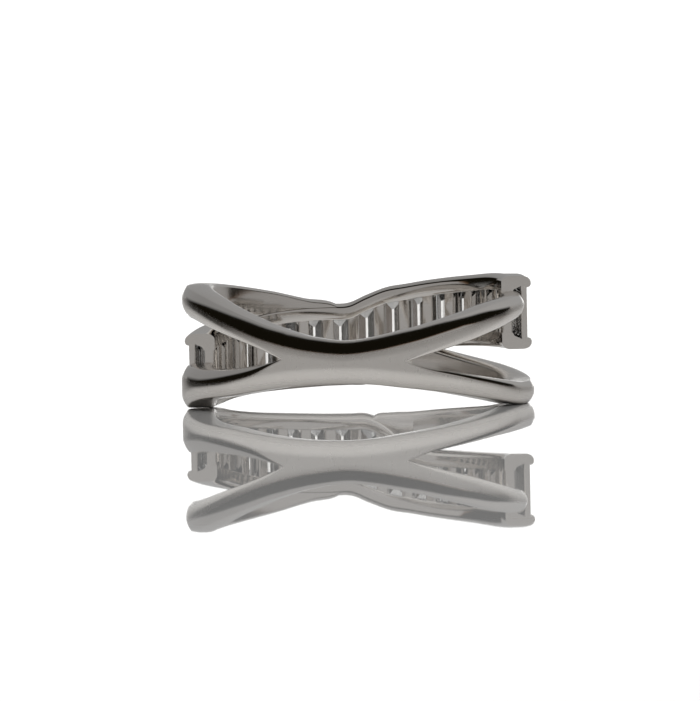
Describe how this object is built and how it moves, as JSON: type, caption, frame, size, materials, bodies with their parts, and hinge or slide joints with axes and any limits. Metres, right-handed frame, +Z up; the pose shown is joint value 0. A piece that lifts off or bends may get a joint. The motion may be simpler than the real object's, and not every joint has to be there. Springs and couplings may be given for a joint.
{
  "type": "cubic zirconia ring",
  "caption": "Criss-cross finger ring: a plain domed strand crosses a channel-set strand of step-cut baguettes, and both run together into a broad face at the palm.",
  "frame": {"origin": "on the finger's axis, in the plane that the ring lies on", "axes": "+Z up along the finger's axis, +Y towards the crossing with the stones, -Y towards the broad palm face"},
  "size_m": [0.021, 0.0208, 0.0077],
  "materials": {
    "metal": "polished, with fine scratches on the palm face",
    "stone": "clear, faceted"
  },
  "bodies": {
    "root": {"band": "metal", "stone_01": "stone", "stone_02": "stone", "stone_03": "stone", "stone_04": "stone", "stone_05": "stone", "stone_06": "stone", "stone_07": "stone", "stone_08": "stone", "stone_09": "stone", "stone_10": "stone", "stone_11": "stone", "stone_12": "stone", "stone_13": "stone", "stone_14": "stone", "stone_15": "stone", "stone_16": "stone"}
  },
  "joints": []
}
